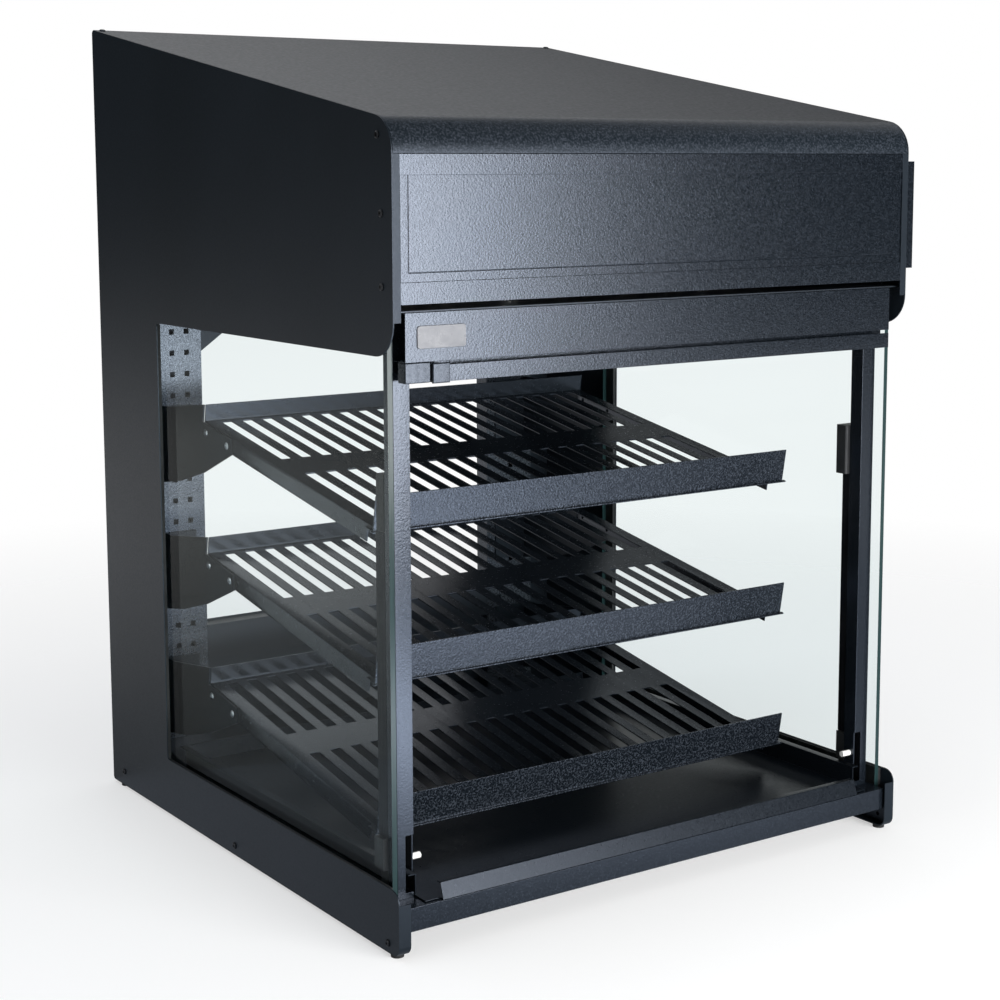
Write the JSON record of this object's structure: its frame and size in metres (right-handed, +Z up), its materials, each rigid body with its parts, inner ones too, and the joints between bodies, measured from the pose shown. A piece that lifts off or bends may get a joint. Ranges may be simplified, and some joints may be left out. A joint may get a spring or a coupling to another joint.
{
  "type": "heated display case",
  "caption": "Open-fronted heated display case with sloping slotted shelves, glass sides, a slide-in sign panel and a pull-out crumb tray.",
  "frame": {"origin": "middle of the whole part's box, on the table under the feet", "axes": "+X to the right seen from the front, +Y to the back, +Z up"},
  "size_m": [0.6216, 0.6388, 0.8436],
  "materials": {
    "case_paint": "black powder coat, fine satin",
    "textured_paint": "black powder coat, hammered texture",
    "side_glass": "clear float glass with a green edge",
    "black_rubber": "matt",
    "black_fastener": "blackened steel",
    "bright_steel": "bright zinc",
    "black_plastic": "moulded, matt",
    "light_housing": "black anodised",
    "light_lens": "frosted diffuser",
    "white_nylon": "natural nylon",
    "blank_plate": "plain neutral blank",
    "heater_tube": "heat-darkened sheath",
    "ceramic": "glazed insulator",
    "heater_mat": "silicone mat",
    "control_body": "moulded control body",
    "lamp_lens": "amber lens"
  },
  "bodies": {
    "case": {"side_panel_left": "case_paint", "side_panel_right": "case_paint", "roof_panel": "case_paint", "rear_frame": "case_paint", "control_panel": "case_paint", "base_rails": "case_paint", "bottom_cover": "case_paint", "header_backing": "textured_paint", "sign_rail_upper": "textured_paint", "sign_rail_lower": "textured_paint", "valance": "textured_paint", "valance_strip": "textured_paint", "front_post_left": "textured_paint", "front_post_right": "textured_paint", "rear_upright_left": "textured_paint", "rear_upright_right": "textured_paint", "rear_sill": "textured_paint", "ceiling_panel": "textured_paint", "base_deck": "textured_paint", "shelf_top": "textured_paint", "shelf_middle": "textured_paint", "shelf_bottom": "textured_paint", "shelf_lip_top": "textured_paint", "shelf_lip_middle": "textured_paint", "shelf_lip_bottom": "textured_paint", "shelf_brackets_left": "textured_paint", "shelf_brackets_right": "textured_paint", "side_glass_left": "side_glass", "side_glass_right": "side_glass", "glass_tapes": "black_rubber", "glass_seats": "black_rubber", "foot_pads": "black_rubber", "panel_screws": "black_fastener", "shelf_bolts": "bright_steel", "heater_supports": "bright_steel", "valance_end_cap": "black_plastic", "strip_clip": "black_plastic", "light_drivers": "black_plastic", "light_sockets": "black_plastic", "switch_bodies": "black_plastic", "power_inlet": "black_plastic", "fan_frames": "black_plastic", "light_bars": "light_housing", "light_lenses": "light_lens", "tray_pins": "white_nylon", "name_plate": "blank_plate", "heating_element": "heater_tube", "heater_insulators": "ceramic", "base_heater": "heater_mat", "thermostat_body": "control_body", "indicator_lamp": "lamp_lens"},
    "sign": {"sign_panel": "textured_paint"},
    "tray": {"tray": "textured_paint"},
    "power_key": {"power_rocker": "black_plastic"},
    "light_key": {"light_rocker": "black_plastic"},
    "knob": {"thermostat_knob": "black_plastic", "thermostat_shaft": "control_body"},
    "fan_left": {"fan_rotor_left": "black_plastic"},
    "fan_right": {"fan_rotor_right": "black_plastic"}
  },
  "joints": [
    {"name": "sign_slide", "type": "slide", "parent": "case", "child": "sign", "axis": [1, 0, 0], "range_m": [0, 0.5]},
    {"name": "tray_slide", "type": "slide", "parent": "case", "child": "tray", "axis": [0, -1, 0], "range_m": [0, 0.26]},
    {"name": "power_rocker_tilt", "type": "hinge", "parent": "case", "child": "power_key", "pos_m": [0.1458, 0.3026, 0.63997], "axis": [1, 0, 0], "range_deg": [-16, 0]},
    {"name": "light_rocker_tilt", "type": "hinge", "parent": "case", "child": "light_key", "pos_m": [0.1858, 0.3026, 0.63997], "axis": [1, 0, 0], "range_deg": [-16, 0]},
    {"name": "thermostat_turn", "type": "hinge", "parent": "case", "child": "knob", "pos_m": [0.0858, 0.3014, 0.63997], "axis": [0, -1, 0], "range_deg": [0, 270]},
    {"name": "fan_left_spin", "type": "hinge", "parent": "case", "child": "fan_left", "pos_m": [-0.1442, 0.0406, 0.5847], "axis": [0, 0, 1], "continuous": true},
    {"name": "fan_right_spin", "type": "hinge", "parent": "case", "child": "fan_right", "pos_m": [0.1358, 0.0406, 0.5847], "axis": [0, 0, 1], "continuous": true}
  ]
}
